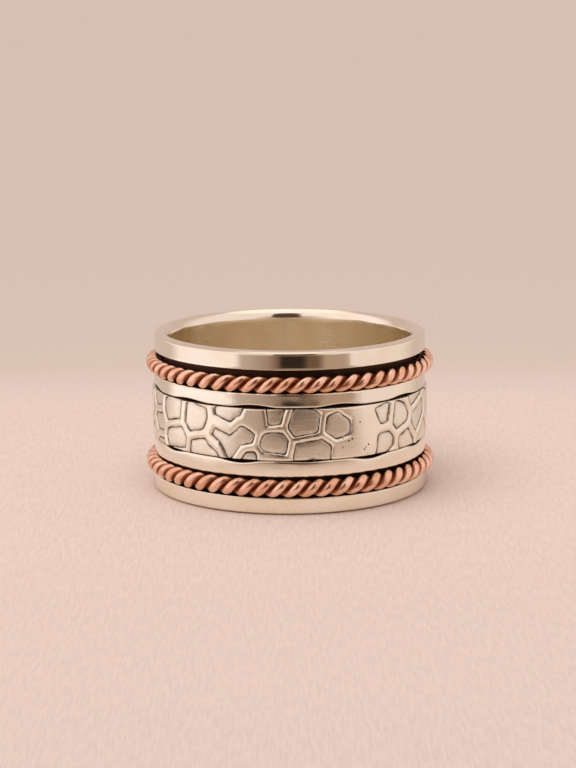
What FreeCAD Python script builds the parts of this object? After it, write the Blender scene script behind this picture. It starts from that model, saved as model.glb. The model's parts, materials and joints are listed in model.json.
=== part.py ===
import FreeCAD, Part
import os
from collections import namedtuple
from math import sqrt

# Spinner ring: a flanged silver base band with five loose rings that turn on it.
# Millimetres. The ring lies on its side: its axis is +Z, and the surface it rests on is z = 0.
# The origin is on the axis, at that surface. The front of the ring faces -Y.

# Base band: the tube round the finger and the flange at each of its ends
BORE_R = 9.10           # finger hole, 18.2 mm across
TUBE_R = 9.50           # outside of the tube, where the loose rings turn
RING_WIDTH = 11.80      # along the axis, over both flanges
Flange = namedtuple("Flange", "outer_r thickness")
UPPER_FLANGE = Flange(outer_r=10.15, thickness=1.34)
LOWER_FLANGE = Flange(outer_r=10.25, thickness=1.26)

# The mouth of the bore flares out to a narrow flat land, and a dome falls from the land to the outer wall
FLARE_DEPTH = 0.65      # along the axis, from the land to the crease inside the bore
FLARE_SAG = 0.09        # how far the flare bulges from a straight bevel
LAND_IN_R = 9.50
LAND_OUT_R = 9.72
DOME_DROP = 0.12        # from the land to the outer wall's edge
DOME_SAG = 0.03
EDGE_ROUND = 0.07       # rounding at both edges of the outer wall

# Loose rings
SPIN_CLEARANCE = 0.08   # between each loose ring and the tube, on the radius
SPIN_R = TUBE_R + SPIN_CLEARANCE
BAND_OUT_R = 10.36      # centre band, over its raised network
HAMMERED_OUT_R = 10.24  # narrow silver rings, between their flats
BAND_ROUND = 0.10
HAMMERED_ROUND = 0.14
INNER_ROUND = 0.05

# The loose rings lie on each other from the lower flange up, and what is left over is play at the top
Layer = namedtuple("Layer", "node form gap_below height")
STACK = (
    Layer("lower_rope_ring", form="rope", gap_below=0.09, height=1.30),
    Layer("lower_hammered_ring", form="hammered", gap_below=0.12, height=1.17),
    Layer("center_band", form="band", gap_below=0.06, height=3.70),
    Layer("upper_hammered_ring", form="hammered", gap_below=0.08, height=1.03),
    Layer("upper_rope_ring", form="rope", gap_below=0.06, height=1.21),
)

# Hammer blows: the middle of each flat, in degrees round the ring from the front towards +X, and its depth
Blow = namedtuple("Blow", "turn depth")
UPPER_BLOWS = (
    Blow(turn=21, depth=0.045),
    Blow(turn=54, depth=0.035),
    Blow(turn=88, depth=0.040),
    Blow(turn=121, depth=0.030),
    Blow(turn=154, depth=0.045),
    Blow(turn=187, depth=0.035),
    Blow(turn=219, depth=0.040),
    Blow(turn=251, depth=0.030),
    Blow(turn=283, depth=0.045),
    Blow(turn=314, depth=0.035),
    Blow(turn=345, depth=0.045),
)
LOWER_BLOWS = (
    Blow(turn=7, depth=0.015),
    Blow(turn=35, depth=0.045),
    Blow(turn=67, depth=0.040),
    Blow(turn=98, depth=0.035),
    Blow(turn=127, depth=0.045),
    Blow(turn=157, depth=0.030),
    Blow(turn=187, depth=0.040),
    Blow(turn=217, depth=0.045),
    Blow(turn=247, depth=0.035),
    Blow(turn=277, depth=0.040),
    Blow(turn=303, depth=0.035),
    Blow(turn=339, depth=0.045),
)
BLOWS = {"upper_hammered_ring": UPPER_BLOWS, "lower_hammered_ring": LOWER_BLOWS}
FLAT_CUTTER = 5.0       # size of the block that cuts a flat, wider than any flat

ORIGIN = FreeCAD.Vector(0, 0, 0)
AXIS = FreeCAD.Vector(0, 0, 1)
FRONT_TURN = -90        # the front, -Y, as an angle from +X
QUARTER_SAG = (sqrt(2) - 1) / 2     # how far a quarter circle bulges, over its chord


def point(r, z):
    return FreeCAD.Vector(r, 0, z)


def line(start, end):
    return Part.LineSegment(start, end).toShape()


def arc(start, end, sag):
    """Arc from start to end that bulges to the left of that direction by sag."""
    along = (end - start).normalize()
    left = point(-along.z, along.x)
    middle = (start + end) / 2 + left * sag
    return Part.Arc(start, middle, end).toShape()


def rounding(start, end):
    """Quarter circle from start to end that bulges to the left of that direction."""
    return arc(start, end, start.distanceToPoint(end) * QUARTER_SAG)


def revolve(edges):
    return Part.Face(Part.Wire(edges)).revolve(ORIGIN, AXIS, 360)


def flange_points(flange):
    """Corners of one flange's section: radius, and depth below the flange's land."""
    wall_r = flange.outer_r
    return (
        (BORE_R, FLARE_DEPTH),
        (LAND_IN_R, 0),
        (LAND_OUT_R, 0),
        (wall_r - EDGE_ROUND, DOME_DROP),
        (wall_r, DOME_DROP + EDGE_ROUND),
        (wall_r, flange.thickness - EDGE_ROUND),
        (wall_r - EDGE_ROUND, flange.thickness),
        (TUBE_R, flange.thickness),
    )


def base_band():
    upper = [point(r, RING_WIDTH - depth) for r, depth in flange_points(UPPER_FLANGE)]
    lower = [point(r, depth) for r, depth in flange_points(LOWER_FLANGE)]
    edges = [
        arc(upper[0], upper[1], FLARE_SAG),
        line(upper[1], upper[2]),
        arc(upper[2], upper[3], DOME_SAG),
        rounding(upper[3], upper[4]),
        line(upper[4], upper[5]),
        rounding(upper[5], upper[6]),
        line(upper[6], upper[7]),
        line(upper[7], lower[7]),
        line(lower[7], lower[6]),
        rounding(lower[6], lower[5]),
        line(lower[5], lower[4]),
        rounding(lower[4], lower[3]),
        arc(lower[3], lower[2], DOME_SAG),
        line(lower[2], lower[1]),
        arc(lower[1], lower[0], FLARE_SAG),
        line(lower[0], upper[0]),
    ]
    return revolve(edges)


def flat_ring(outer_r, bottom, height, outer_round):
    """Ring of rectangular section with rounded edges, from the running fit out to outer_r."""
    top = bottom + height
    left_top = (point(SPIN_R, top - INNER_ROUND), point(SPIN_R + INNER_ROUND, top))
    right_top = (point(outer_r - outer_round, top), point(outer_r, top - outer_round))
    right_bottom = (point(outer_r, bottom + outer_round), point(outer_r - outer_round, bottom))
    left_bottom = (point(SPIN_R + INNER_ROUND, bottom), point(SPIN_R, bottom + INNER_ROUND))
    edges = [
        rounding(*left_top),
        line(left_top[1], right_top[0]),
        rounding(*right_top),
        line(right_top[1], right_bottom[0]),
        rounding(*right_bottom),
        line(right_bottom[1], left_bottom[0]),
        rounding(*left_bottom),
        line(left_bottom[1], left_top[0]),
    ]
    return revolve(edges)


def hammered_ring(bottom, height, blows):
    """Narrow ring with one shallow flat for each hammer blow."""
    ring = flat_ring(HAMMERED_OUT_R, bottom, height, HAMMERED_ROUND)
    middle = bottom + height / 2
    for blow in blows:
        corner = FreeCAD.Vector(HAMMERED_OUT_R - blow.depth, -FLAT_CUTTER / 2, middle - FLAT_CUTTER / 2)
        cutter = Part.makeBox(FLAT_CUTTER, FLAT_CUTTER, FLAT_CUTTER, corner)
        cutter.rotate(ORIGIN, AXIS, FRONT_TURN + blow.turn)
        ring = ring.cut(cutter)
    return ring


def rope_ring(bottom, height):
    """Outer form of a ring of two twisted wires, whose strands are finer than this model."""
    rope_r = height / 2
    return Part.makeTorus(SPIN_R + rope_r, rope_r, FreeCAD.Vector(0, 0, bottom + rope_r), AXIS)


def loose_ring(layer, bottom):
    if layer.form == "rope":
        return rope_ring(bottom, layer.height)
    if layer.form == "band":
        return flat_ring(BAND_OUT_R, bottom, layer.height, BAND_ROUND)
    return hammered_ring(bottom, layer.height, BLOWS[layer.node])


def stack_rings():
    rings = {}
    top = LOWER_FLANGE.thickness
    for layer in STACK:
        bottom = top + layer.gap_below
        rings[layer.node] = loose_ring(layer, bottom)
        top = bottom + layer.height
    play = RING_WIDTH - UPPER_FLANGE.thickness - top
    print(f"play under the upper flange: {play:.2f} mm")
    return rings


nodes = {"base_band": base_band()}
nodes.update(stack_rings())

os.makedirs("parts", exist_ok=True)
for name, shape in nodes.items():
    solid = shape.Solids[0]
    box = solid.optimalBoundingBox()
    print(f"{name}: {len(shape.Solids)} solid, valid {solid.isValid()}, {solid.Volume:.1f} mm3, "
          f"radius {box.XMax:.2f}, z {box.ZMin:.2f} to {box.ZMax:.2f}")
    solid.exportStep(f"parts/{name}.step")
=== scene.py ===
# %% [markdown]
# # Spinner ring
#
# The real ring is a silver base band, which is a tube with a flange at each end, and five loose rings that
# turn on it: two ropes of twisted copper wire, two narrow hammered silver rings, and between them a wide
# silver band with a raised network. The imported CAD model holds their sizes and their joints. This file
# keeps to those sizes and makes what the CAD model leaves out: the wire strands, the hammered edges, the
# network, the finish of each metal, and the light that polished metal needs before it looks like metal.

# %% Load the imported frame
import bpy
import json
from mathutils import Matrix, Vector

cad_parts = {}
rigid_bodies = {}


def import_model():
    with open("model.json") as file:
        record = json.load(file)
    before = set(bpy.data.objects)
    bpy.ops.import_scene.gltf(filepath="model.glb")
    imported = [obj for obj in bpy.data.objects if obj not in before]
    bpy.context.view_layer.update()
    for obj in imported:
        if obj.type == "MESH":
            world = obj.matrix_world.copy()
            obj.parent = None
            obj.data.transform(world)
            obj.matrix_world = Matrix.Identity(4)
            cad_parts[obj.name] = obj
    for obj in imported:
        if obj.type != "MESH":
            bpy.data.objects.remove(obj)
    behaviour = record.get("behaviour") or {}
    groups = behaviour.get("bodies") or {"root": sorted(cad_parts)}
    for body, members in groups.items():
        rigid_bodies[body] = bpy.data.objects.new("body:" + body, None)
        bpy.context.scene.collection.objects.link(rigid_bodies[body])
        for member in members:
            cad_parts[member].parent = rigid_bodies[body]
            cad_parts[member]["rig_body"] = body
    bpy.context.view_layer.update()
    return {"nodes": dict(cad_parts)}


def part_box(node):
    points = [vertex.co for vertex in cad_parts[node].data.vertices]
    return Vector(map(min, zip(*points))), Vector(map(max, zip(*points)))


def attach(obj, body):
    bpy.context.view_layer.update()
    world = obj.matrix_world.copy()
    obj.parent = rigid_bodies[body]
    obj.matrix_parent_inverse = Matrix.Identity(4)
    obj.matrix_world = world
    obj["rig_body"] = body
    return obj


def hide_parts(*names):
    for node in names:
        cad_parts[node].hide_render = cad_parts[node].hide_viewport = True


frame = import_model()

# %% [markdown]
# ## Sizes
#
# Blender works in metres, and a ring is easier to think about in millimetres, so sizes are written as
# 9.1 * MM. Places round the ring are turns in degrees, counted from the front, which faces -Y, towards +X.
# What the CAD model already knows, such as how high a loose ring sits, is read from its box.

# %% Units and the boxes of the CAD rings
import json
import math
import random
from collections import namedtuple

import bmesh
import bpy
import numpy as np
from mathutils import Matrix, Vector, noise

MM = 0.001
RingSize = namedtuple("RingSize", "outer_r bottom top")


def ring_size(node):
    """Outer radius and the two heights of a CAD ring."""
    low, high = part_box(node)
    return RingSize(outer_r=high.x, bottom=low.z, top=high.z)


for node in frame["nodes"]:
    size = ring_size(node)
    print(f"{node}: radius {size.outer_r / MM:.2f} mm, from {size.bottom / MM:.2f} to {size.top / MM:.2f} mm")

# %% [markdown]
# ## Camera
#
# The picture is taken from in front and a little above, 11 degrees down, with a long lens, so the rims are
# flat ellipses and the sides hardly converge. The camera also leans a third of a degree to its right.

# %% Camera
CAMERA_PLACE = Vector((-0.128 * MM, -150.0 * MM, 36.74 * MM))
CAMERA_DOWN = math.radians(11.01)
CAMERA_LEAN = math.radians(-0.28)
LENS = 94.9
NEAR_CLIP = 1 * MM

camera_data = bpy.data.cameras.new("camera")
camera_data.lens = LENS
camera_data.clip_start = NEAR_CLIP
camera = bpy.data.objects.new("camera", camera_data)
bpy.context.scene.collection.objects.link(camera)
looking_down = Matrix.Rotation(math.radians(90) - CAMERA_DOWN, 4, "X")
camera.matrix_world = Matrix.Translation(CAMERA_PLACE) @ looking_down @ Matrix.Rotation(CAMERA_LEAN, 4, "Z")
bpy.context.scene.camera = camera
print("camera stands", round(-CAMERA_PLACE.y / MM), "mm in front of the ring's axis")

# %% [markdown]
# ## Helpers for node trees
#
# Materials, the world and Geometry Nodes are all trees of nodes. One helper adds a node, sets it and joins
# it to what comes before, so that each tree below reads from top to bottom like a recipe.

# %% Node helpers


def lay(tree, kind, inputs=None, **settings):
    """Adds a node. Each input gets a value, or a link if it is another node's socket."""
    node = tree.nodes.new(kind)
    for name, value in settings.items():
        setattr(node, name, value)
    for name, value in (inputs or {}).items():
        if isinstance(value, bpy.types.NodeSocket):
            tree.links.new(value, node.inputs[name])
        else:
            node.inputs[name].default_value = value
    return node


def calc(tree, operation, *values, clamp=False):
    """One step of arithmetic on numbers or sockets."""
    node = lay(tree, "ShaderNodeMath", dict(enumerate(values)), operation=operation, use_clamp=clamp)
    return node.outputs[0]


def spread(tree, value, low, high, to_low=0.0, to_high=1.0):
    """Stretches the range from low to high over the range from to_low to to_high, with soft ends."""
    inputs = {"Value": value, "From Min": low, "From Max": high, "To Min": to_low, "To Max": to_high}
    node = lay(tree, "ShaderNodeMapRange", inputs, interpolation_type="SMOOTHSTEP")
    return node.outputs["Result"]


def blend_colours(tree, share, first, second):
    """The first colour where share is 0, the second where it is 1."""
    node = lay(tree, "ShaderNodeMix", data_type="RGBA")
    factor, a, b = node.inputs[0], node.inputs[6], node.inputs[7]
    for socket, value in ((factor, share), (a, first), (b, second)):
        if isinstance(value, bpy.types.NodeSocket):
            tree.links.new(value, socket)
        else:
            socket.default_value = value
    return node.outputs[2]


def grain(tree, scale, detail=2.0, stretch=(1, 1, 1), seed=0.0):
    """Noise on the piece's own coordinates, from 0 to 1. Its stretch makes streaks."""
    place = lay(tree, "ShaderNodeTexCoord").outputs["Object"]
    stretched = lay(tree, "ShaderNodeMapping", {"Vector": place, "Scale": stretch}).outputs["Vector"]
    inputs = {"Vector": stretched, "W": seed, "Scale": scale, "Detail": detail}
    return lay(tree, "ShaderNodeTexNoise", inputs, noise_dimensions="4D").outputs["Fac"]


def new_material(name):
    """An empty material and its tree."""
    material = bpy.data.materials.new(name)
    material.use_nodes = True
    material.node_tree.nodes.clear()
    return material, material.node_tree


print("node helpers ready")

# %% [markdown]
# ## Silver
#
# Silver is the brightest metal there is, and a little warm: it gives back nine tenths of the red light and
# less of the blue, so light that bounces twice inside the bore turns to straw. A mirror finish still has
# the hair lines that a polishing wheel leaves round the ring. Where the wheel doesn't reach, the silver
# keeps its dark sulphide, which a maker also puts on by hand to draw out a pattern. Each piece says where
# that is in an attribute of its mesh named tarnish, so the dark follows the real form: about 1 for a
# patchy dark, 2 for an even one. A second attribute named satin marks the bore, which the finger has worn
# to long soft streaks and left a little wavy. A third, porous, marks a soldered seam, where small pits in
# the solder stay dark.

# %% Grains of the silver
SILVER = (0.93, 0.89, 0.78, 1)
WARM_SILVER = (0.89, 0.83, 0.68, 1)
SULPHIDE = (0.070, 0.034, 0.019, 1)
PER_MM = 1 / MM
CLOUDS = {"scale": 0.35 * PER_MM, "detail": 3}
HAIR_LINES = {"scale": 1.0 * PER_MM, "detail": 4, "stretch": (0.5, 0.5, 7), "seed": 2}
DARK_PATCHES = {"scale": 1.7 * PER_MM, "detail": 3, "seed": 5}
PIT_GROUPS = {"scale": 0.8 * PER_MM, "detail": 1, "seed": 6}
BORE_STREAKS = {"scale": 0.3 * PER_MM, "detail": 1, "stretch": (1, 1, 0.15), "seed": 9}
BORE_SWELLS = {"scale": 0.42 * PER_MM, "detail": 1, "stretch": (1, 1, 0.3), "seed": 9}
SOFT_WAVES = {"scale": 0.5 * PER_MM, "detail": 1, "seed": 7}
CLOUD_ENDS = (0.35, 0.70)
HAIR_ENDS = (0.35, 0.75)
PATCH_ENDS = (0.3, 0.7)
PATCH_DARK = (0.6, 1.3)
GROUP_ENDS = (0.48, 0.60)
STREAK_ENDS = (0.2, 0.8)
BORE_SATIN = (0.05, 0.20)
BORE_SWELL = 5.0
PIT_SPACING = 0.42
PIT_SIZE = (0.12, 0.24)
SULPHIDE_ROUGHNESS = 0.45


def marked(tree, attribute):
    """What the mesh says in one of its attributes: 0 where it says nothing."""
    return lay(tree, "ShaderNodeAttribute", attribute_name=attribute).outputs["Fac"]


def pitting(tree):
    """Small round pits in groups: 1 inside a pit."""
    place = lay(tree, "ShaderNodeTexCoord").outputs["Object"]
    inputs = {"Vector": place, "Scale": PER_MM / PIT_SPACING}
    away = lay(tree, "ShaderNodeTexVoronoi", inputs).outputs["Distance"]
    groups = spread(tree, grain(tree, **PIT_GROUPS), *GROUP_ENDS)
    return calc(tree, "MULTIPLY", spread(tree, away, *PIT_SIZE, 1.0, 0.0), groups)


print("pits lie", PIT_SPACING, "mm apart on the seam")

# %% Silver finishes
Finish = namedtuple("Finish", "roughness uneven hair_lines hair_depth wave_depth")
POLISHED = Finish(0.05, uneven=0.05, hair_lines=0.06, hair_depth=0.0006 * MM, wave_depth=0.012 * MM)
HAMMERED = Finish(0.04, uneven=0.05, hair_lines=0.06, hair_depth=0.0012 * MM, wave_depth=0.030 * MM)
TEXTURED = Finish(0.13, uneven=0.12, hair_lines=0.08, hair_depth=0.0025 * MM, wave_depth=0.030 * MM)


def metal_surface(tree, colour, gloss, bump):
    """Ends a metal's tree: the shader and the output."""
    inputs = {"Base Color": colour, "Metallic": 1.0, "Roughness": gloss, "Normal": bump.outputs["Normal"]}
    shader = lay(tree, "ShaderNodeBsdfPrincipled", inputs)
    lay(tree, "ShaderNodeOutputMaterial", {"Surface": shader.outputs["BSDF"]})


def silver(name, finish):
    """Silver with a finish: how rough, uneven, hair-lined and wavy it is."""
    material, tree = new_material(name)
    clouds = grain(tree, **CLOUDS)
    lines = grain(tree, **HAIR_LINES)
    satin = marked(tree, "satin")
    patchy = spread(tree, grain(tree, **DARK_PATCHES), *PATCH_ENDS, *PATCH_DARK)
    pits = calc(tree, "MULTIPLY", marked(tree, "porous"), pitting(tree))
    dark = calc(tree, "MULTIPLY_ADD", marked(tree, "tarnish"), patchy, pits, clamp=True)
    metal = blend_colours(tree, spread(tree, clouds, *CLOUD_ENDS), SILVER, WARM_SILVER)
    colour = blend_colours(tree, dark, metal, SULPHIDE)
    streaks = spread(tree, grain(tree, **BORE_STREAKS), *STREAK_ENDS, *BORE_SATIN)
    gloss = spread(tree, lines, *HAIR_ENDS, finish.roughness, finish.roughness + finish.hair_lines)
    for where, amount in ((clouds, finish.uneven), (dark, SULPHIDE_ROUGHNESS), (satin, streaks)):
        gloss = calc(tree, "ADD", gloss, calc(tree, "MULTIPLY", where, amount))
    swells = calc(tree, "SUBTRACT", grain(tree, **BORE_SWELLS), 0.5)
    unround = calc(tree, "MULTIPLY", satin, calc(tree, "MULTIPLY", swells, BORE_SWELL))
    height = calc(tree, "ADD", grain(tree, **SOFT_WAVES), unround)
    wavy = {"Height": height, "Strength": 1.0, "Distance": finish.wave_depth}
    waves = lay(tree, "ShaderNodeBump", wavy).outputs["Normal"]
    lined = {"Height": lines, "Strength": 1.0, "Distance": finish.hair_depth, "Normal": waves}
    metal_surface(tree, colour, gloss, lay(tree, "ShaderNodeBump", lined))
    return material


polished_silver = silver("polished_silver", POLISHED)
hammered_silver = silver("hammered_silver", HAMMERED)
textured_silver = silver("textured_silver", TEXTURED)
print("silver finishes:", polished_silver.name, hammered_silver.name, textured_silver.name)

# %% [markdown]
# ## Copper
#
# The wires are copper, polished on their crests by wear and by the finger, and dark brown in the grooves
# where they lie against each other. The Geometry Nodes tree that twists the wires will also measure, at
# each point, how far it stands from the middle of the rope: the attribute lift, 1 on a crest.

# %% Copper
COPPER = (0.97, 0.66, 0.51, 1)
OLD_COPPER = (0.82, 0.45, 0.29, 1)
BROWN_OXIDE = (0.33, 0.10, 0.032, 1)
GROOVE_LIFT = 0.70
CREST_LIFT = 0.90
GROOVE_ROUGHNESS = 0.50
CREST_ROUGHNESS = 0.19
COPPER_UNEVEN = 0.08
COPPER_CLOUDS = {"scale": 0.9 * PER_MM, "detail": 3}
SCRATCHES = {"scale": 6 * PER_MM, "detail": 3, "seed": 3}
SCRATCH_DEPTH = 0.002 * MM


def copper(name):
    """Copper wire, bright on its crests and oxidised in its grooves."""
    material, tree = new_material(name)
    clouds = grain(tree, **COPPER_CLOUDS)
    worn = spread(tree, marked(tree, "lift"), GROOVE_LIFT, CREST_LIFT)
    metal = blend_colours(tree, spread(tree, clouds, *CLOUD_ENDS), COPPER, OLD_COPPER)
    colour = blend_colours(tree, worn, BROWN_OXIDE, metal)
    gloss = spread(tree, worn, 0.0, 1.0, GROOVE_ROUGHNESS, CREST_ROUGHNESS)
    gloss = calc(tree, "ADD", gloss, calc(tree, "MULTIPLY", clouds, COPPER_UNEVEN))
    scratched = {"Height": grain(tree, **SCRATCHES), "Strength": 1.0, "Distance": SCRATCH_DEPTH}
    metal_surface(tree, colour, gloss, lay(tree, "ShaderNodeBump", scratched))
    return material


copper_wire = copper("copper_wire")
print("copper finish:", copper_wire.name)

# %% [markdown]
# ## Rings from sections
#
# The base band and the hammered rings are both a section carried round an axis, like work on a lathe. The
# Spin tool could do it, but a hammered ring's section changes on the way round. So one helper takes a
# section for each of many turns and joins neighbours with faces. The section runs up the outside and down
# the inside, which makes every face point outwards.

# %% Mesh helpers
SMOOTH_ANGLE = math.radians(35)


def turns(count):
    """Evenly spaced turns round the ring, in radians from the front."""
    return np.linspace(0, math.tau, count, endpoint=False)


def place_on_ring(turn, radius, height):
    """Points at a turn from the front, a radius and a height."""
    return np.stack([radius * np.sin(turn), -radius * np.cos(turn), height], axis=-1)


def lathe(name, radius, height, **attributes):
    """Mesh of a closed ring. Both arrays have a column for each turn and a row for each section point."""
    columns, rows = radius.shape
    points = place_on_ring(turns(columns)[:, None], radius, height).reshape(-1, 3)
    index = np.arange(columns * rows).reshape(columns, rows)
    onward = np.roll(index, -1, axis=0)
    faces = np.stack([index, onward, np.roll(onward, -1, axis=1), np.roll(index, -1, axis=1)], axis=-1)
    mesh = bpy.data.meshes.new(name)
    mesh.from_pydata(points.tolist(), [], faces.reshape(-1, 4).tolist())
    for title, value in attributes.items():
        attribute = mesh.attributes.new(title, "FLOAT", "POINT")
        attribute.data.foreach_set("value", np.broadcast_to(value, radius.shape).astype(np.float32).ravel())
    return mesh


def finish_piece(mesh, name, body, material):
    """Makes a mesh a piece of the ring: it rides on its CAD body and stands for the CAD node in it."""
    node = next(n for n, o in frame["nodes"].items() if o["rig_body"] == body)
    mesh.materials.clear()
    mesh.materials.append(material)
    mesh.shade_smooth()
    mesh.set_sharp_from_angle(angle=SMOOTH_ANGLE)
    piece = bpy.data.objects.new(name, mesh)
    bpy.context.scene.collection.objects.link(piece)
    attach(piece, body)
    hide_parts(node)
    check = bmesh.new()
    check.from_mesh(mesh)
    closed = all(edge.is_manifold for edge in check.edges)
    volume = check.calc_volume(signed=True) / MM**3
    check.free()
    mesh.calc_loop_triangles()
    print(f"{name}: {len(mesh.loop_triangles)} triangles, closed {closed}, {volume:.1f} mm3")


print("mesh helpers ready")

# %% [markdown]
# ## Section of a flat ring
#
# A narrow ring's section is a rectangle with rounded corners and a slightly crowned face. Each of its
# points is written as shares of the way from inside to outside and from the lower to the upper edge, plus
# a small offset. The same rows then fit any radius and any edge, so a hammered ring can change both as it
# goes round.

# %% Rows of a flat ring's section
SectionRow = namedtuple("SectionRow", "outward upward radial axial face")
QUARTER = math.pi / 2
OUTER_STEPS = 5
INNER_STEPS = 3


def corner_rows(outward, upward, rounding, start, steps, sink=0.0, face=0.0):
    """A rounded corner that begins at the angle start, in the plane of radius and height."""
    rows = []
    middle_r = rounding * (1 - 2 * outward) - sink
    middle_z = rounding * (1 - 2 * upward)
    for angle in np.linspace(start, start + QUARTER, steps):
        radial = middle_r + rounding * math.cos(angle)
        axial = middle_z + rounding * math.sin(angle)
        rows.append(SectionRow(outward, upward, radial, axial, face))
    return rows


def flat_ring_rows(outer_round, inner_round, crown, face_steps):
    """Section rows from the bottom of the outer face, up, over the top and back along the inside."""
    rows = corner_rows(1, 0, outer_round, -QUARTER, OUTER_STEPS, sink=crown, face=1.0)
    for share in np.linspace(0, 1, face_steps + 2)[1:-1]:
        sink = crown * (2 * share - 1) ** 2
        rows.append(SectionRow(1, share, -sink, outer_round * (1 - 2 * share), 1.0))
    rows += corner_rows(1, 1, outer_round, 0, OUTER_STEPS, sink=crown, face=1.0)
    rows += corner_rows(0, 1, inner_round, QUARTER, INNER_STEPS)
    rows += corner_rows(0, 0, inner_round, 2 * QUARTER, INNER_STEPS)
    return rows


print("a flat ring's section has", len(flat_ring_rows(0.1, 0.05, 0.02, 8)), "rows")

# %% [markdown]
# ## Base band
#
# The base band is turned from thick sheet: the bore that touches the finger, a flared mouth that ends in a
# narrow flat land, a low dome from the land to the outer wall, and between the flanges the channel in
# which the loose rings run. A revolved section is the natural way. Its corners stay crisp, because a
# polished flange shows every softened edge, but the wall is not perfect: it was filed by hand, and its
# radius wanders by a few microns, which bends the reflections a little.

# %% Sizes of the base band
BORE_R = 9.10
TUBE_R = 9.50
FLARE_DEPTH = 0.65
FLARE_SAG = 0.09
LAND_IN_R = 9.50
LAND_OUT_R = 9.72
DOME_DROP = 0.12
DOME_SAG = 0.03
EDGE_ROUND = 0.07
Flange = namedtuple("Flange", "outer_r thickness")
UPPER_FLANGE = Flange(outer_r=10.15, thickness=1.34)
LOWER_FLANGE = Flange(outer_r=10.25, thickness=1.26)
RoundRun = namedtuple("RoundRun", "r depth sag steps tarnish")
QUARTER_SAG = (math.sqrt(2) - 1) / 2


def flange_runs(flange):
    """Points of one flange's section, each with the sag of the run that leads on from it."""
    wall = flange.outer_r
    edge_sag = EDGE_ROUND * math.sqrt(2) * QUARTER_SAG
    return [
        RoundRun(BORE_R, FLARE_DEPTH, FLARE_SAG, 8, 0),
        RoundRun(LAND_IN_R, 0, 0, 2, 0),
        RoundRun(LAND_OUT_R, 0, DOME_SAG, 5, 0),
        RoundRun(wall - EDGE_ROUND, DOME_DROP, edge_sag, 4, 0),
        RoundRun(wall, DOME_DROP + EDGE_ROUND, 0, 7, 0),
        RoundRun(wall, flange.thickness - EDGE_ROUND, edge_sag, 4, 0),
        RoundRun(wall - EDGE_ROUND, flange.thickness, 0, 4, 1),
        RoundRun(TUBE_R, flange.thickness, 0, 8, 2),
    ]


def run_points(start, end, steps, sag):
    """Points from start towards end on an arc that bulges to the right of that direction."""
    along = np.array(end) - np.array(start)
    length = math.hypot(*along)
    across = np.array([along[1], -along[0]]) / length
    share = np.linspace(0, 1, steps, endpoint=False)[:, None]
    return np.array(start) + share * along + across * sag * (1 - (2 * share - 1) ** 2)


print("flare", FLARE_DEPTH, "mm deep, walls", UPPER_FLANGE.outer_r, "and", LOWER_FLANGE.outer_r, "mm")

# %% Base band
BASE_COLUMNS = 600
BORE_STEPS = 24
WANDER = 0.020
WANDER_WAVES = ((5, 0.3), (8, 1.9), (13, 4.0), (21, 2.2))


def base_outline():
    """Closed section of the base band in millimetres, and its tarnish, up the outside and down the bore."""
    width = ring_size("base_band").top / MM
    lower = [(run, (run.r, run.depth)) for run in flange_runs(LOWER_FLANGE)]
    upper = [(run, (run.r, width - run.depth)) for run in flange_runs(UPPER_FLANGE)]
    corners = [point for _, point in lower] + [point for _, point in reversed(upper)]
    tarnish = [run.tarnish for run, _ in lower] + [run.tarnish for run, _ in reversed(upper)]
    lower_runs = [(run.sag, run.steps) for run, _ in lower]
    upper_runs = [(run.sag, run.steps) for run, _ in reversed(upper[:-1])]
    runs = lower_runs + upper_runs + [(0, BORE_STEPS)]
    points, dark = [], []
    for i, (sag, steps) in enumerate(runs):
        onward = (i + 1) % len(corners)
        points.append(run_points(corners[i], corners[onward], steps, sag))
        dark.append(np.linspace(tarnish[i], tarnish[onward], steps, endpoint=False))
    return np.concatenate(points), np.concatenate(dark)


def build_base_band():
    """The base band. Its radius wanders in waves, and the more waves go round, the lower they are."""
    points, dark = base_outline()
    turn = turns(BASE_COLUMNS)[:, None]
    wander = sum(np.sin(count * turn + phase) / count for count, phase in WANDER_WAVES) * WANDER
    radius = (points[:, 0] + wander) * MM
    height = np.broadcast_to(points[:, 1], radius.shape) * MM
    bore = np.isclose(points[:, 0], BORE_R)
    return lathe("base_band_silver", radius, height, tarnish=dark, satin=bore)


finish_piece(build_base_band(), "base_band_silver", "base", polished_silver)

# %% [markdown]
# ## Ropes of twisted wire
#
# Each rope is two round copper wires twisted on each other and then bent round the ring. Both wires
# follow one rule, a helix round a circle, so Geometry Nodes make them: a circle is doubled, a Set Position
# node moves every point of it out to the helix, and Curve to Mesh wraps each path in a wire. The tree's
# inputs are the sizes that a maker would choose. Twists have to be a whole number for the wires to meet
# themselves after one turn of the ring.

# %% Inputs of the rope tree
ROPE_INPUTS = {
    "Ring Radius": "NodeSocketFloat",
    "Rope Radius": "NodeSocketFloat",
    "Wire Share": "NodeSocketFloat",
    "Height": "NodeSocketFloat",
    "Twists": "NodeSocketInt",
    "Strands": "NodeSocketInt",
    "Steps Per Twist": "NodeSocketInt",
    "Wire Sides": "NodeSocketInt",
    "Phase": "NodeSocketFloat",
    "Unevenness": "NodeSocketFloat",
    "Seed": "NodeSocketFloat",
    "Metal": "NodeSocketMaterial",
}
print("inputs of the rope tree:", len(ROPE_INPUTS))

# %% Path of each wire, and how far a point is from the middle of the rope
SLOW_NOISE = {"Scale": 4.0, "Detail": 1.0}


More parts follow.
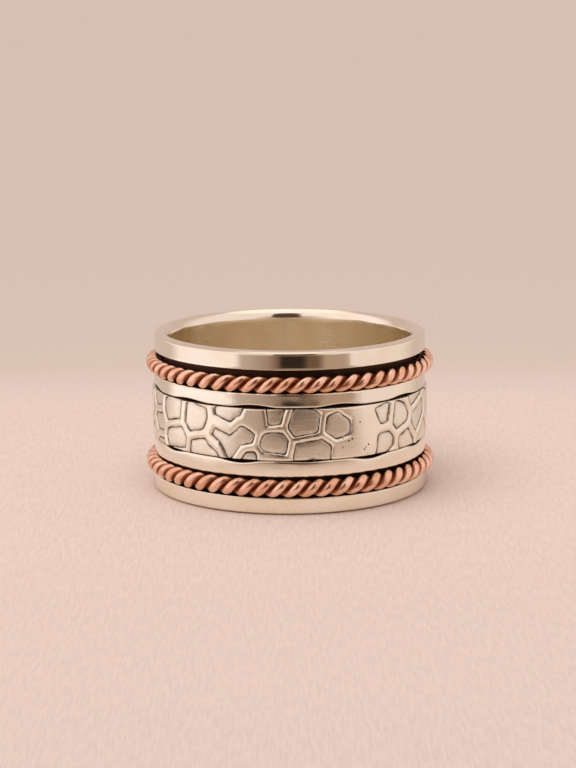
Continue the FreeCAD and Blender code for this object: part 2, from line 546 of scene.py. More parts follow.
def helix_angles(tree, size, strand):
    """The angle round the ring, and the angle round the rope, of each point of each strand's path."""
    points = calc(tree, "MULTIPLY", size["Twists"], size["Steps Per Twist"])
    place = lay(tree, "GeometryNodeSplineParameter").outputs["Index"]
    round_ring = calc(tree, "DIVIDE", calc(tree, "MULTIPLY", place, math.tau), points)
    on_circle = lay(tree, "ShaderNodeCombineXYZ", {
        "X": calc(tree, "COSINE", round_ring),
        "Y": calc(tree, "SINE", round_ring),
    })
    rough = {"Vector": on_circle.outputs["Vector"], "W": size["Seed"], **SLOW_NOISE}
    wobble = lay(tree, "ShaderNodeTexNoise", rough, noise_dimensions="4D").outputs["Fac"]
    wobble = calc(tree, "MULTIPLY", calc(tree, "SUBTRACT", wobble, 0.5), size["Unevenness"])
    own_share = calc(tree, "DIVIDE", calc(tree, "MULTIPLY", strand, math.tau), size["Strands"])
    twist = calc(tree, "ADD", calc(tree, "MULTIPLY", round_ring, size["Twists"]), own_share)
    round_rope = calc(tree, "ADD", calc(tree, "ADD", twist, size["Phase"]), wobble)
    return round_ring, round_rope, points


def diagonal(tree, across, up):
    """Length of the diagonal over two sides."""
    squares = calc(tree, "ADD", calc(tree, "POWER", across, 2.0), calc(tree, "POWER", up, 2.0))
    return calc(tree, "SQRT", squares)


def rope_lift(tree, size):
    """How far each point of the mesh is from the middle of the rope, over the rope's radius."""
    place = lay(tree, "GeometryNodeInputPosition").outputs["Position"]
    xyz = lay(tree, "ShaderNodeSeparateXYZ", {"Vector": place}).outputs
    out = calc(tree, "SUBTRACT", diagonal(tree, xyz[0], xyz[1]), size["Ring Radius"])
    up = calc(tree, "SUBTRACT", xyz[2], size["Height"])
    return calc(tree, "DIVIDE", diagonal(tree, out, up), size["Rope Radius"])


print("a wire's path is worked out from two angles")

# %% Rope tree


def rope_tree():
    """Geometry Nodes tree of a closed ring of twisted wires."""
    tree = bpy.data.node_groups.new("twisted_wire_ring", "GeometryNodeTree")
    for name, kind in ROPE_INPUTS.items():
        tree.interface.new_socket(name, in_out="INPUT", socket_type=kind)
    tree.interface.new_socket("Geometry", in_out="OUTPUT", socket_type="NodeSocketGeometry")
    size = lay(tree, "NodeGroupInput").outputs
    circle = lay(tree, "GeometryNodeCurvePrimitiveCircle", {"Radius": size["Ring Radius"]})
    double = {"Geometry": circle.outputs["Curve"], "Amount": size["Strands"]}
    doubled = lay(tree, "GeometryNodeDuplicateElements", double, domain="SPLINE")
    round_ring, round_rope, points = helix_angles(tree, size, doubled.outputs["Duplicate Index"])
    tree.links.new(points, circle.inputs["Resolution"])
    wire_r = calc(tree, "MULTIPLY", size["Rope Radius"], size["Wire Share"])
    helix_r = calc(tree, "SUBTRACT", size["Rope Radius"], wire_r)
    radius = calc(tree, "MULTIPLY_ADD", helix_r, calc(tree, "COSINE", round_rope), size["Ring Radius"])
    height = calc(tree, "MULTIPLY_ADD", helix_r, calc(tree, "SINE", round_rope), size["Height"])
    forward = calc(tree, "MULTIPLY", calc(tree, "COSINE", round_ring), -1.0)
    place = lay(tree, "ShaderNodeCombineXYZ", {
        "X": calc(tree, "MULTIPLY", radius, calc(tree, "SINE", round_ring)),
        "Y": calc(tree, "MULTIPLY", radius, forward),
        "Z": height,
    })
    moved = {"Geometry": doubled.outputs["Geometry"], "Position": place.outputs["Vector"]}
    paths = lay(tree, "GeometryNodeSetPosition", moved)
    wire_circle = {"Resolution": size["Wire Sides"], "Radius": wire_r}
    section = lay(tree, "GeometryNodeCurvePrimitiveCircle", wire_circle)
    wires = {"Curve": paths.outputs["Geometry"], "Profile Curve": section.outputs["Curve"]}
    mesh = lay(tree, "GeometryNodeCurveToMesh", wires).outputs["Mesh"]
    kept = {"Geometry": mesh, "Name": "lift", "Value": rope_lift(tree, size)}
    named = lay(tree, "GeometryNodeStoreNamedAttribute", kept, data_type="FLOAT", domain="POINT")
    real = lay(tree, "GeometryNodeRealizeInstances", {"Geometry": named.outputs["Geometry"]})
    coated = {"Geometry": real.outputs["Geometry"], "Material": size["Metal"]}
    painted = lay(tree, "GeometryNodeSetMaterial", coated)
    lay(tree, "NodeGroupOutput", {"Geometry": painted.outputs["Geometry"]})
    return tree


twisted_wire_ring = rope_tree()
print("rope tree:", len(twisted_wire_ring.nodes), "nodes")

# %% Both ropes
Rope = namedtuple("Rope", "body twists crest_turn unevenness seed")
ROPES = (
    Rope("upper_rope_ring", twists=28, crest_turn=-2.4, unevenness=0.25, seed=3.0),
    Rope("lower_rope_ring", twists=28, crest_turn=2.0, unevenness=0.25, seed=8.0),
)
STRANDS = 2
WIRE_SHARE = 0.53
STEPS_PER_TWIST = 36
WIRE_SIDES = 20


def plain_mesh(tree, values, name):
    """Runs a Geometry Nodes tree with these inputs and gives its result as a plain mesh."""
    holder = bpy.data.objects.new(name, bpy.data.meshes.new(name))
    bpy.context.scene.collection.objects.link(holder)
    modifier = holder.modifiers.new(name, "NODES")
    modifier.node_group = tree
    for item in tree.interface.items_tree:
        if item.in_out == "INPUT":
            modifier[item.identifier] = values[item.name]
    seen = holder.evaluated_get(bpy.context.evaluated_depsgraph_get())
    mesh = bpy.data.meshes.new_from_object(seen)
    mesh.name = name
    bpy.data.objects.remove(holder)
    return mesh


for rope in ROPES:
    size = ring_size(rope.body)
    rope_r = (size.top - size.bottom) / 2
    values = {
        "Ring Radius": size.outer_r - rope_r,
        "Rope Radius": rope_r,
        "Wire Share": WIRE_SHARE,
        "Height": (size.bottom + size.top) / 2,
        "Twists": rope.twists,
        "Strands": STRANDS,
        "Steps Per Twist": STEPS_PER_TWIST,
        "Wire Sides": WIRE_SIDES,
        "Phase": -rope.twists * math.radians(rope.crest_turn),
        "Unevenness": rope.unevenness,
        "Seed": rope.seed,
        "Metal": copper_wire,
    }
    name = rope.body + "_wires"
    finish_piece(plain_mesh(twisted_wire_ring, values, name), name, rope.body, copper_wire)

# %% [markdown]
# ## Hammered rings
#
# A planishing hammer leaves a row of shallow dishes round each narrow ring. Where it struck near the edge
# that meets the centre band, the edge falls back a little too, and the gap there opens in a row of long
# thin eyes. Both follow from one table of blows, with the turn of each and its depth in millimetres. A dish
# and an eye have the same soft outline, so one function of the turn serves for both: the first moves the
# outer face, the second moves the edge.

# %% Blows of the hammer
Blow = namedtuple("Blow", "turn depth")
UPPER_BLOWS = (
    Blow(21, 0.045),
    Blow(54, 0.035),
    Blow(88, 0.040),
    Blow(121, 0.030),
    Blow(154, 0.045),
    Blow(187, 0.035),
    Blow(219, 0.040),
    Blow(251, 0.030),
    Blow(283, 0.045),
    Blow(314, 0.035),
    Blow(345, 0.045),
)
LOWER_BLOWS = (
    Blow(7, 0.015),
    Blow(35, 0.045),
    Blow(67, 0.040),
    Blow(98, 0.035),
    Blow(127, 0.045),
    Blow(157, 0.030),
    Blow(187, 0.040),
    Blow(217, 0.045),
    Blow(247, 0.035),
    Blow(277, 0.040),
    Blow(303, 0.035),
    Blow(339, 0.045),
)
DISH_HALF = math.radians(15)
EYE_HALF = math.radians(11)


def blow_marks(turn, blows, half_width):
    """Soft hollows as deep as each blow, in millimetres, at these turns."""
    hollows = np.zeros(turn.shape)
    for blow in blows:
        away = (turn - math.radians(blow.turn) + math.pi) % math.tau - math.pi
        share = np.clip(np.abs(away) / half_width, 0, 1)
        hollows += blow.depth * (1 - share**2) ** 2
    return hollows


print("blows:", len(UPPER_BLOWS), "above and", len(LOWER_BLOWS), "below the centre band")

# %% Both hammered rings
SPIN_R = 9.58
HammeredRing = namedtuple("HammeredRing", "body blows lower_eyes upper_eyes crown")
HAMMERED_RINGS = (
    HammeredRing("upper_hammered_ring", UPPER_BLOWS, lower_eyes=3.6, upper_eyes=0, crown=-0.004),
    HammeredRing("lower_hammered_ring", LOWER_BLOWS, lower_eyes=0, upper_eyes=4.6, crown=0.006),
)
HAMMERED_COLUMNS = 900
HAMMERED_FACE_STEPS = 9
HAMMERED_ROUND = 0.11
INNER_ROUND = 0.05
CUT_TARNISH = 1.6


def build_hammered_ring(ring):
    """A narrow ring with dished blows. Eyes say how far an edge falls back, over the blow's depth."""
    size = ring_size(ring.body)
    turn = turns(HAMMERED_COLUMNS)[:, None]
    outer = size.outer_r / MM - blow_marks(turn, ring.blows, DISH_HALF)
    eyes = blow_marks(turn, ring.blows, EYE_HALF)
    low = size.bottom / MM + eyes * ring.lower_eyes
    high = size.top / MM - eyes * ring.upper_eyes
    rows = flat_ring_rows(HAMMERED_ROUND, INNER_ROUND, ring.crown, HAMMERED_FACE_STEPS)
    outward, upward, radial, axial, face = (np.array(column) for column in zip(*rows))
    radius = SPIN_R + (outer - SPIN_R) * outward + radial
    height = low + (high - low) * upward + axial
    return lathe(ring.body + "_silver", radius * MM, height * MM, tarnish=(1 - face) * CUT_TARNISH)


for ring in HAMMERED_RINGS:
    name = ring.body + "_silver"
    finish_piece(build_hammered_ring(ring), name, ring.body, hammered_silver)

# %% [markdown]
# ## Centre band: the network
#
# The wide band is a strip of sheet with a pattern of sunken cells, like a dry stone wall. Its raised lines
# lie half way between neighbouring cells, which is how a Voronoi diagram is drawn: each cell is named by
# one point, and a place belongs to the nearest one. So the pattern is charted as one point for
# each cell, and the distance to the nearest boundary gives the form: a ridge on the boundary, then a steep
# wall, a groove that holds the dark, and the floor. Two points with one name make one crooked cell, and
# grow moves one cell's walls outwards, or inwards below 0. Turns are in degrees, heights and grow in
# millimetres. Points above and below the strip stand for the cells that were cut away with the sheet, and
# those of the seam for the place where the strip's ends are soldered and the network is filled.

# %% Cells of the front
Cell = namedtuple("Cell", "name turn height grow", defaults=(0.0,))
FRONT_CELLS = (
    Cell("left", -80.0, 6.60),
    Cell("low_left", -70.5, 5.50),
    Cell("top_left", -72.0, 7.40),
    Cell("foot_left", -70.0, 3.80),
    Cell("c1", -56.4, 6.92, grow=-0.02),
    Cell("c2", -41.2, 6.60, grow=-0.03),
    Cell("c3", -25.4, 7.10, grow=-0.10),
    Cell("c3", -20.6, 7.75, grow=-0.05),
    Cell("c4", -7.9, 7.35, grow=-0.02),
    Cell("c5", 5.6, 6.70, grow=0.06),
    Cell("c6", 20.4, 6.36, grow=0.02),
    Cell("b1", -54.0, 4.72, grow=0.03),
    Cell("b2", -38.0, 4.25, grow=0.02),
    Cell("b2", -33.5, 3.90),
    Cell("star", -28.6, 5.60, grow=-0.22),
    Cell("star", -18.9, 5.78),
    Cell("star", -24.6, 4.80, grow=-0.06),
    Cell("b4", -16.8, 3.80),
    Cell("b5", -7.1, 5.14, grow=0.03),
    Cell("b6", 7.4, 4.56, grow=-0.02),
    Cell("b6", 12.6, 4.42, grow=-0.03),
    Cell("c7", 40.0, 6.98, grow=-0.06),
    Cell("c8", 51.0, 6.60),
    Cell("c9", 62.0, 7.85),
    Cell("c10", 66.0, 5.95),
    Cell("b8", 41.0, 4.62, grow=-0.02),
    Cell("b9", 55.5, 4.30, grow=-0.04),
    Cell("b10", 72.0, 4.40),
    Cell("ridge", -14.2, 7.20),
    Cell("seam", 32.0, 6.30),
    Cell("seam", 24.0, 4.30),
    Cell("seam", 26.5, 8.10),
    Cell("seam", 31.0, 4.90),
    Cell("above", -64.0, 9.20),
    Cell("above", -50.0, 9.60),
    Cell("above", -37.0, 9.20),
    Cell("above", -2.0, 9.30),
    Cell("above", 6.0, 9.20),
    Cell("above", 16.0, 8.90),
    Cell("above", 37.0, 8.60),
    Cell("above", 46.0, 9.20),
    Cell("above", 55.0, 8.80),
    Cell("below", -53.0, 3.00),
    Cell("below", -8.0, 3.45),
    Cell("below", 10.0, 2.90),
    Cell("below", 47.0, 2.80),
)
PLAIN_CELLS = ("ridge", "seam", "above", "below")
print("cells charted for the front:", len(FRONT_CELLS))

# %% Cells of the hidden side
HIDDEN_FIRST = 84
HIDDEN_LAST = 276
HIDDEN_STEP = 13.7
HIDDEN_SHIFT = 0.28
HIDDEN_SEED = 11
CUT_AWAY_SHIFT = 3
HiddenRow = namedtuple("HiddenRow", "name height offset beyond beyond_height")
HIDDEN_ROWS = (
    HiddenRow("upper", 6.70, offset=0.0, beyond="above", beyond_height=8.45),
    HiddenRow("lower", 4.85, offset=0.5, beyond="below", beyond_height=3.10),
)


def hidden_cells():
    """Two staggered rows of cells, each moved a little at random, with the cut-away rows beside them."""
    dice = random.Random(HIDDEN_SEED)
    cells = []
    count = int((HIDDEN_LAST - HIDDEN_FIRST) / HIDDEN_STEP)
    for row in HIDDEN_ROWS:
        for i in range(count + 1):
            shift = dice.uniform(-HIDDEN_SHIFT, HIDDEN_SHIFT)
            turn = HIDDEN_FIRST + (i + row.offset + shift) * HIDDEN_STEP
            lift = dice.uniform(-HIDDEN_SHIFT, HIDDEN_SHIFT)
            cells.append(Cell(f"{row.name}{i}", turn, row.height + lift))
            beyond_turn = turn + dice.uniform(-CUT_AWAY_SHIFT, CUT_AWAY_SHIFT)
            cells.append(Cell(row.beyond, beyond_turn, row.beyond_height + lift / 2))
    return cells


CELLS = FRONT_CELLS + tuple(hidden_cells())
print("cells in all:", len(CELLS))

# %% [markdown]
# The distance to a boundary between two points is worked out exactly: it is half the difference of the
# squared distances over the gap between the points. A soft minimum over the neighbours rounds the cells'
# corners, and the places are first moved a little by smooth noise, because no line of the real network is
# quite straight. Blender's noise starts from the clock unless it is given a seed.

# %% Distance inside a cell
BAND = ring_size("center_band")
BAND_R = BAND.outer_r / MM
BAND_LENGTH = math.tau * BAND_R
NEIGHBOUR_REACH = 5.0
CORNER_SOFTNESS = 0.05
WOBBLES = ((0.75, 0.050), (0.28, 0.018))
WOBBLE_SEED = 5
noise.seed_set(WOBBLE_SEED)


def round_gap(around):
    """The short way round between places along the band, in millimetres."""
    return (around + BAND_LENGTH / 2) % BAND_LENGTH - BAND_LENGTH / 2


def wobbled(around, height):
    """The same places moved by smooth noise that closes on itself round the ring."""
    turn = around / BAND_R
    places = place_on_ring(turn, np.full(turn.shape, BAND_R), height)
    moved = np.zeros((*turn.shape, 2))
    for size, amount in WOBBLES:
        drift = [noise.noise_vector(Vector(place / size))[0:2] for place in places.reshape(-1, 3)]
        moved += np.array(drift).reshape(moved.shape) * amount
    return around + moved[..., 0], height + moved[..., 1]


def inside_cell(around, height):
    """How far each place is inside its cell, in millimetres: 0 half way between two cells."""
    around, height = wobbled(around, height)
    points = [(math.radians(cell.turn) * BAND_R, cell.height) for cell in CELLS]
    squared = [round_gap(around - x) ** 2 + (height - y) ** 2 for x, y in points]
    deepest = np.full(around.shape, -math.inf)
    for own, (x, y) in enumerate(points):
        if CELLS[own].name in PLAIN_CELLS:
            continue
        walls = []
        for other, (x2, y2) in enumerate(points):
            gap = math.hypot(round_gap(x2 - x), y2 - y)
            if CELLS[other].name == CELLS[own].name or gap > NEIGHBOUR_REACH:
                continue
            walls.append((squared[other] - squared[own]) / (2 * gap) + CELLS[own].grow)
        nearest = np.min(walls, axis=0)
        soft = np.exp(-(np.array(walls) - nearest) / CORNER_SOFTNESS).sum(axis=0)
        deepest = np.maximum(deepest, nearest - CORNER_SOFTNESS * np.log(soft))
    return deepest


print("the band is", round(BAND_LENGTH, 1), "mm round")

# %% [markdown]
# ## Centre band: the form
#
# The strip is made flat, as the real one was, and bent round last. Displacing an even grid would give the
# ridges stairs for edges. Instead each point of the flat grid is lifted to its distance inside the cell,
# and level planes cut it, as contour lines are cut through hills. The cuts leave edges exactly along the
# ridge's crest, its wall and its groove. Then each point is sent to its true depth. On the soldered seam
# the depth fades to nothing, and the porous attribute lets the silver show its pits there.

# %% Contours of the relief
Contour = namedtuple("Contour", "inside depth tarnish")
CONTOURS = (
    Contour(inside=0.00, depth=0.000, tarnish=0.0),
    Contour(inside=0.07, depth=0.007, tarnish=0.0),
    Contour(inside=0.14, depth=0.026, tarnish=0.0),
    Contour(inside=0.20, depth=0.058, tarnish=0.0),
    Contour(inside=0.24, depth=0.092, tarnish=0.2),
    Contour(inside=0.27, depth=0.130, tarnish=0.9),
    Contour(inside=0.305, depth=0.142, tarnish=1.0),
    Contour(inside=0.34, depth=0.124, tarnish=0.60),
    Contour(inside=0.40, depth=0.108, tarnish=0.22),
    Contour(inside=0.60, depth=0.098, tarnish=0.05),
)
SEAM_LEFT = 27.0
SEAM_FADE = (32.5, 37.0)
SEAM_PITS = (19.0, 23.0, 33.0, 36.0)
BAND_COLUMN_WIDTH = 0.11
BAND_ROUND = 0.09
BAND_CROWN = 0.015
BAND_FACE_STEPS = 32


def soft_step(value, low, high):
    """0 below low, 1 above high, and smooth between."""
    share = np.clip((value - low) / (high - low), 0, 1)
    return share * share * (3 - 2 * share)


def relief_share(turn):
    """1 where the network has its full depth, 0 on the smooth soldered seam."""
    return np.where(turn < SEAM_LEFT, 1.0, soft_step(turn, *SEAM_FADE))


def seam_share(turn):
    """1 along the middle of the soldered seam, 0 away from it."""
    begins, full, fades, ends = SEAM_PITS
    return soft_step(turn, begins, full) * (1 - soft_step(turn, fades, ends))


def band_outline():
    """Section of the centre band in millimetres, and which of its points are on the outer face.

    It begins half way along the inside, where no contour cuts it, so its two ends match.
    """
    columns = np.array(flat_ring_rows(BAND_ROUND, INNER_ROUND, BAND_CROWN, BAND_FACE_STEPS)).T
    inside_rows = int((columns[-1] == 0).sum())
    outward, upward, radial, axial, face = np.roll(columns, inside_rows // 2, axis=1)
    low, high = BAND.bottom / MM, BAND.top / MM
    radius = SPIN_R + (BAND_R - SPIN_R) * outward + radial
    height = low + (high - low) * upward + axial
    return radius, height, face


print("relief", max(c.depth for c in CONTOURS), "mm deep in", len(CONTOURS), "contours")

# %% Flat strip, cut along the contours
CUT_REACH = 1e-5


def flat_strip(radius, height):
    """Grid over the unrolled band: X along it, Y along its section, Z the distance inside a cell."""
    columns = round(BAND_LENGTH / BAND_COLUMN_WIDTH)
    around = np.linspace(-BAND_LENGTH / 2, BAND_LENGTH / 2, columns + 1)
    steps = np.hypot(np.diff(radius, append=radius[0]), np.diff(height, append=height[0]))
    along = np.concatenate([[0], np.cumsum(steps)])
    heights = np.append(height, height[0])
    grid_x, grid_y = np.meshgrid(around, along, indexing="ij")
    inside = inside_cell(grid_x, np.broadcast_to(heights, grid_x.shape))
    points = np.stack([grid_x, grid_y, inside], axis=-1).reshape(-1, 3)
    index = np.arange(len(points)).reshape(grid_x.shape)
    faces = np.stack([index[:-1, :-1], index[1:, :-1], index[1:, 1:], index[:-1, 1:]], axis=-1)
    mesh = bpy.data.meshes.new("strip")
    mesh.from_pydata(points.tolist(), [], faces.reshape(-1, 4).tolist())
    return mesh, along


def cut_contours(mesh, face_start, face_end):
    """Cuts the outer face at each contour's level. The rest of the section is left alone."""
    strip = bmesh.new()
    strip.from_mesh(mesh)
    bpy.data.meshes.remove(mesh)
    for contour in CONTOURS[1:]:
        outer = [f for f in strip.faces if face_start < f.calc_center_median().y < face_end]
        geometry = dict.fromkeys(element for f in outer for element in (f, *f.edges, *f.verts))
        plane = {"plane_co": (0, 0, contour.inside), "plane_no": (0, 0, 1)}
        bmesh.ops.bisect_plane(strip, geom=list(geometry), dist=CUT_REACH, **plane)
    return strip


outline_r, outline_z, outline_face = band_outline()
strip_mesh, outline_along = flat_strip(outline_r, outline_z)
face_rows = np.flatnonzero(outline_face)
face_start, face_end = outline_along[face_rows[0]], outline_along[face_rows[-1]]
strip = cut_contours(strip_mesh, face_start, face_end)
print("flat strip cut into", len(strip.faces), "faces")

# %% Bend the strip round
FACE_SLACK = 1e-6
MERGE_REACH = 1e-4 * MM


def bend_round(strip):
    """Sends each point of the cut strip to its depth and its place on the ring."""
    places = np.array([v.co for v in strip.verts])
    radius = np.interp(places[:, 1], outline_along, np.append(outline_r, outline_r[0]))
    height = np.interp(places[:, 1], outline_along, np.append(outline_z, outline_z[0]))
    on_face = (places[:, 1] >= face_start - FACE_SLACK) & (places[:, 1] <= face_end + FACE_SLACK)
    turn = places[:, 0] / BAND_R
    relief = relief_share(np.degrees(turn)) * on_face
    levels, depths, tarnishes = zip(*CONTOURS)
    depth = np.interp(places[:, 2], levels, depths) * relief
    dark = np.interp(places[:, 2], levels, tarnishes) * relief
    dark = np.where(on_face, dark, CUT_TARNISH)
    porous = seam_share(np.degrees(turn)) * on_face
    tarnish_layer = strip.verts.layers.float.new("tarnish")
    porous_layer = strip.verts.layers.float.new("porous")
    bent = place_on_ring(turn, radius - depth, height)
    for vert, place, tarnish, pits in zip(strip.verts, bent, dark, porous):
        vert.co = place * MM
        vert[tarnish_layer] = tarnish
        vert[porous_layer] = pits
    bmesh.ops.remove_doubles(strip, verts=strip.verts, dist=MERGE_REACH)
    mesh = bpy.data.meshes.new("center_band_silver")
    strip.to_mesh(mesh)
    strip.free()
    return mesh


finish_piece(bend_round(strip), "center_band_silver", "center_band", textured_silver)

# %% [markdown]
# ## Floor
#
# The ring stands on pale, warm cloth. A plain cloth floor is flat, so one large plane is enough, and its
# colour and faint weave come from its material. The low places of the weave are painted darker, as painted
# shade in the gaps between threads. Behind the ring the colour is painted a little greyer, as painted shade
# standing in for the place where the cloth rises towards the back of a small photo tent.

# %% Floor
FLOOR_HALF = 40.0
CLOTH = (0.855, 0.705, 0.637, 1)
# Painted shade: the gaps between threads, where the weave lies low, are painted this darker colour.
THREAD_GAP_SHADE = (0.785, 0.645, 0.583, 1)
# Painted shade: behind the ring the floor is painted this greyer colour, standing in for the cloth rising
# towards the back of a photo tent.
SHADED_FAR_CLOTH = (0.72, 0.605, 0.535, 1)
FAR_SHADE_ENDS = (28 * MM, 52 * MM)
THREADS = {"scale": 4.5 * PER_MM, "detail": 2, "stretch": (1, 0.14, 1), "seed": 1}
THREAD_ENDS = (0.3, 0.7)
WEAVE_DEPTH = 0.10 * MM
WEAVE_STRENGTH = 0.6
CLOTH_ROUGHNESS = 0.9


def cloth():
    """Fine pale cloth, with painted shade in the gaps of its weave and painted shade that greys it behind the
    ring.
    """
    material, tree = new_material("pale_cloth")
    place = lay(tree, "ShaderNodeTexCoord").outputs["Object"]
    y = lay(tree, "ShaderNodeSeparateXYZ", {"Vector": place}).outputs["Y"]
    threads = grain(tree, **THREADS)
    # Painted shade: the weave is painted darker where it lies low, in the gaps between threads.
    cloth_with_gap_shade = blend_colours(tree, spread(tree, threads, *THREAD_ENDS), THREAD_GAP_SHADE, CLOTH)
    # Painted shade: the floor is painted greyer behind the ring.
    colour = blend_colours(tree, spread(tree, y, *FAR_SHADE_ENDS), cloth_with_gap_shade, SHADED_FAR_CLOTH)
    woven = {"Height": threads, "Strength": WEAVE_STRENGTH, "Distance": WEAVE_DEPTH}
    bump = lay(tree, "ShaderNodeBump", woven)
    inputs = {"Base Color": colour, "Roughness": CLOTH_ROUGHNESS, "Normal": bump.outputs["Normal"]}
    matt = lay(tree, "ShaderNodeBsdfPrincipled", inputs)
    lay(tree, "ShaderNodeOutputMaterial", {"Surface": matt.outputs["BSDF"]})
    return material


def stage_piece(name, points, faces, material):
    """A floor or a card, which is not part of the ring."""
    mesh = bpy.data.meshes.new(name)
    mesh.from_pydata([tuple(p) for p in points], [], faces)
    mesh.materials.append(material)
    piece = bpy.data.objects.new(name, mesh)
    bpy.context.scene.collection.objects.link(piece)
    return piece


corners = [(x * FLOOR_HALF, y * FLOOR_HALF, 0) for x, y in ((-1, -1), (1, -1), (1, 1), (-1, 1))]
stage_piece("floor", corners, [(0, 1, 2, 3)], cloth())
print("floor:", 2 * FLOOR_HALF, "m across")

# %% [markdown]
# ## What the metal sees
#
# Polished metal has hardly a colour of its own: it shows what stands round it. A ring is photographed in a
# small tent of white cloth with an opening for the lens, so its front reflects the dim room and the dark
# camera, and its flanks reflect the lit sides. Here the tent is a low bowl whose brightness is painted by
# direction, in tiers: a near and a far one on the ground, a middle and a high one on the sides, and an even
# light at the top. Only reflections see it, so it neither hides the ring nor lights the floor. It begins
# outside the patch of cloth that the lowest rings reflect, which stays real.

# %% Colours of the tent
LAMP_CLOTH = (1.06, 0.89, 0.85, 1)
SIDE_CLOTH = (0.90, 0.73, 0.67, 1)
DIM_CLOTH = (0.56, 0.42, 0.35, 1)
BROWN_DIM = (0.36, 0.24, 0.18, 1)
WARM_DIM = (0.45, 0.31, 0.23, 1)
ROOM = (0.16, 0.09, 0.060, 1)
LENS_DARK = (0.025, 0.016, 0.011, 1)
REAR_CLOTH = (0.66, 0.52, 0.46, 1)
NEAR_LAMP = (1.16, 0.99, 0.96, 1)
FRONT_DIM = (0.64, 0.48, 0.41, 1)
FLOOR_GLOW = (0.80, 0.60, 0.51, 1)
NEAR_BROWN = (0.31, 0.205, 0.155, 1)
HIGH_REAR = (0.66, 0.51, 0.455, 1)
HIGH_SIDE = (0.92, 0.78, 0.74, 1)
TOP_LIGHT = (1.20, 1.06, 0.98, 1)
print("the lamp's cloth is", round(LAMP_CLOTH[0] / LENS_DARK[0]), "times as bright as the lens")

# %% Panels of each tier, by their turn from the front
Panel = namedtuple("Panel", "start end colour")
NEAR_TENT = (
    Panel(-180, -112, REAR_CLOTH),
    Panel(-98, -50, NEAR_LAMP),
    Panel(-38, -38, DIM_CLOTH),
    Panel(-16, -16, BROWN_DIM),
    Panel(-9, 20, NEAR_BROWN),
    Panel(30, 46, WARM_DIM),
    Panel(54, 100, SIDE_CLOTH),
    Panel(120, 180, REAR_CLOTH),
)
LOW_TENT = (
    Panel(-180, -112, REAR_CLOTH),
    Panel(-98, -43, LAMP_CLOTH),
    Panel(-39, -39, DIM_CLOTH),
    Panel(-16, -16, BROWN_DIM),
    Panel(-9, -9, ROOM),
    Panel(-6, 10, LENS_DARK),
    Panel(14, 22, ROOM),
    Panel(27, 46, WARM_DIM),
    Panel(48, 100, SIDE_CLOTH),
    Panel(120, 180, REAR_CLOTH),
)
MIDDLE_TENT = (
    Panel(-180, -130, HIGH_REAR),
    Panel(-110, -45, LAMP_CLOTH),
    Panel(-20, 22, FRONT_DIM),
    Panel(40, 110, HIGH_SIDE),
    Panel(140, 180, HIGH_REAR),
)
HIGH_TENT = (
    Panel(-180, -130, HIGH_REAR),
    Panel(-110, -30, LAMP_CLOTH),
    Panel(15, 110, HIGH_SIDE),
    Panel(140, 180, HIGH_REAR),
)
print("panels of the tiers:", [len(tier) for tier in (NEAR_TENT, LOW_TENT, MIDDLE_TENT, HIGH_TENT)])

# %% Tent cloth
GLOW_ENDS = (20 * MM, 34 * MM)
NEAR_ENDS = (47 * MM, 54 * MM)
LOW_ENDS = (4 * MM, 13 * MM)
MIDDLE_ENDS = (34 * MM, 46 * MM)
TOP_ENDS = (85 * MM, 105 * MM)
CREASES = {"scale": 0.3 * PER_MM, "detail": 4, "seed": 4}
EDGE_WANDER = 0.035


def panel_ramp(tree, direction, panels):
    """Colour by direction, from a table of panels."""
    ramp = lay(tree, "ShaderNodeValToRGB", {"Fac": direction})
    elements = ramp.color_ramp.elements
    ends = [(turn, panel.colour) for panel in panels for turn in dict.fromkeys((panel.start, panel.end))]
    for turn, _ in ends[1:-1]:
        elements.new(0.5 + turn / 360)
    for element, (turn, colour) in zip(elements, ends):
        element.position = 0.5 + turn / 360
        element.color = colour
    return ramp.outputs["Color"]


def glow(tree, colour):
    """Ends the tree of a cloth or a card that gives off light."""
    light = lay(tree, "ShaderNodeEmission", {"Color": colour, "Strength": 1.0})
    lay(tree, "ShaderNodeOutputMaterial", {"Surface": light.outputs["Emission"]})


def tent_cloth():
    """Light painted by the direction round the ring, tier by tier, and even at the top."""
    material, tree = new_material("tent_cloth")
    place = lay(tree, "ShaderNodeTexCoord").outputs["Object"]
    from_front = {"Vector": place, "Rotation": (0, 0, QUARTER)}
    turned = lay(tree, "ShaderNodeMapping", from_front).outputs["Vector"]
    direction = lay(tree, "ShaderNodeTexGradient", {"Vector": turned}, gradient_type="RADIAL").outputs["Fac"]
    creases = calc(tree, "SUBTRACT", grain(tree, **CREASES), 0.5)
    direction = calc(tree, "ADD", direction, calc(tree, "MULTIPLY", creases, EDGE_WANDER))
    height = lay(tree, "ShaderNodeSeparateXYZ", {"Vector": place}).outputs["Z"]
    reach = lay(tree, "ShaderNodeVectorMath", {0: place}, operation="LENGTH").outputs["Value"]
    colour = FLOOR_GLOW
    for measure, ends, panels in (
        (reach, GLOW_ENDS, NEAR_TENT),
        (reach, NEAR_ENDS, LOW_TENT),
        (height, LOW_ENDS, MIDDLE_TENT),
        (height, MIDDLE_ENDS, HIGH_TENT),
    ):
        tier = panel_ramp(tree, direction, panels)
        colour = blend_colours(tree, spread(tree, measure, *ends), colour, tier)
    glow(tree, blend_colours(tree, spread(tree, height, *TOP_ENDS), colour, TOP_LIGHT))
    return material


tent_light = tent_cloth()
print("tent cloth:", len(tent_light.node_tree.nodes), "nodes")

# %% Tent seen only in reflections
TENT_COLUMNS = 96
TENT_OUTLINE = (
    (20 * MM, 0.3 * MM),
    (64 * MM, 0.3 * MM),
    (64 * MM, 30 * MM),
    (60 * MM, 60 * MM),
    (45 * MM, 95 * MM),
    (20 * MM, 112 * MM),
    (0.1 * MM, 116 * MM),
)


def only_in_reflections(piece):
    """Hides a card from the camera and from light, and leaves it to the metal."""
    piece.visible_camera = False
    piece.visible_diffuse = False
    piece.visible_shadow = False
    piece.visible_transmission = False


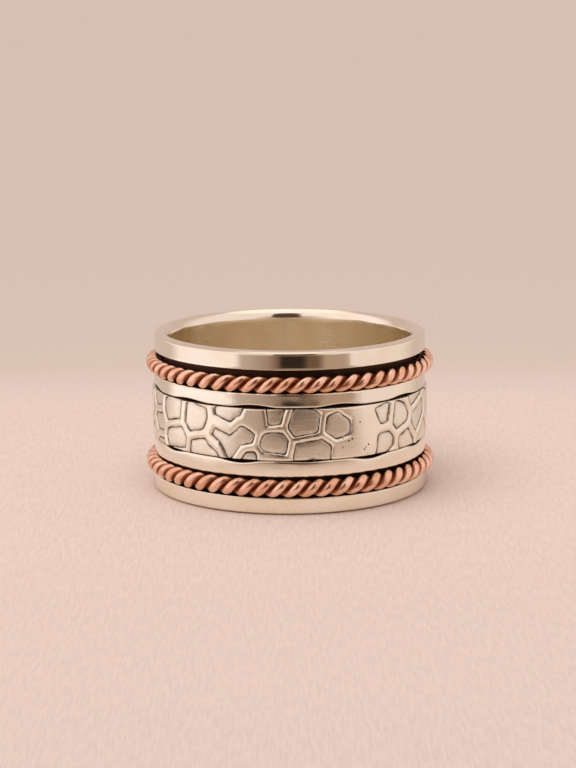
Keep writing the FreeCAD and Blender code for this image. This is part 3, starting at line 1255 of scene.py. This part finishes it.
def open_bowl(outline, columns):
    """Points and faces of an open surface of revolution."""
    shape = (columns, len(outline))
    radius, height = (np.broadcast_to(measure, shape) for measure in np.array(outline).T)
    grid = place_on_ring(turns(columns)[:, None], radius, height)
    index = np.arange(radius.size).reshape(shape)
    onward = np.roll(index, -1, axis=0)
    faces = np.stack([index[:, :-1], onward[:, :-1], onward[:, 1:], index[:, 1:]], axis=-1)
    return grid.reshape(-1, 3), faces.reshape(-1, 4).tolist()


tent = stage_piece("tent", *open_bowl(TENT_OUTLINE, TENT_COLUMNS), tent_light)
only_in_reflections(tent)
print("tent:", round(2 * max(TENT_OUTLINE)[0] / MM), "mm across")

# %% [markdown]
# ## What the metal sees of the camera
#
# The camera stands dark in the tent's opening, and each bright wire and edge shows it as a small dark patch
# near the front. It could be painted on the tent, but it stands nearer to the ring and has firm edges. So
# it is a card of its own in front of the tent, which only reflections see.

# %% Camera's dark shape
CARD_X = (-11 * MM, 18 * MM)
CARD_Y = -50 * MM
CARD_Z = (10 * MM, 84 * MM)
CAMERA_BROWN = (0.090, 0.048, 0.030, 1)

camera_brown, camera_brown_tree = new_material("camera_brown")
glow(camera_brown_tree, CAMERA_BROWN)
card = [(CARD_X[i], CARD_Y, CARD_Z[j]) for i, j in ((0, 0), (1, 0), (1, 1), (0, 1))]
camera_card = stage_piece("camera_card", card, [(0, 1, 2, 3)], camera_brown)
only_in_reflections(camera_card)
print("camera card", round((CARD_Z[1] - CARD_Z[0]) / MM), "mm tall")

# %% [markdown]
# ## Light
#
# The light itself is one very wide sun for the soft shadow that falls beside the ring, and a warm world
# for everything else. The sun is hidden from reflections, because the tent's bright top stands for it there.
# The Standard view keeps the colours as they are worked out, without a film curve over them.

# %% Sun, world and view
SUN_STRENGTH = 1.63
SUN_ANGLE = math.radians(66)
SUN_DIRECTION = Vector((0.24, 0.35, -1.0))
SUN_COLOUR = (1.0, 0.97, 0.95)
WORLD_COLOUR = (0.80, 0.69, 0.63, 1)
WORLD_STRENGTH = 0.62
BORE_BOUNCES = 12

sun_data = bpy.data.lights.new("soft_sun", "SUN")
sun_data.energy = SUN_STRENGTH
sun_data.angle = SUN_ANGLE
sun_data.color = SUN_COLOUR
sun = bpy.data.objects.new("soft_sun", sun_data)
sun.rotation_mode = "QUATERNION"
sun.rotation_quaternion = SUN_DIRECTION.to_track_quat("-Z", "Y")
sun.visible_glossy = False
bpy.context.scene.collection.objects.link(sun)

world = bpy.data.worlds.new("room")
world.use_nodes = True
world.node_tree.nodes.clear()
room = lay(world.node_tree, "ShaderNodeBackground", {"Color": WORLD_COLOUR, "Strength": WORLD_STRENGTH})
lay(world.node_tree, "ShaderNodeOutputWorld", {"Surface": room.outputs["Background"]})
bpy.context.scene.world = world
bpy.context.scene.view_settings.view_transform = "Standard"
bpy.context.scene.cycles.glossy_bounces = BORE_BOUNCES
print("sun", SUN_STRENGTH, "and world", WORLD_STRENGTH)
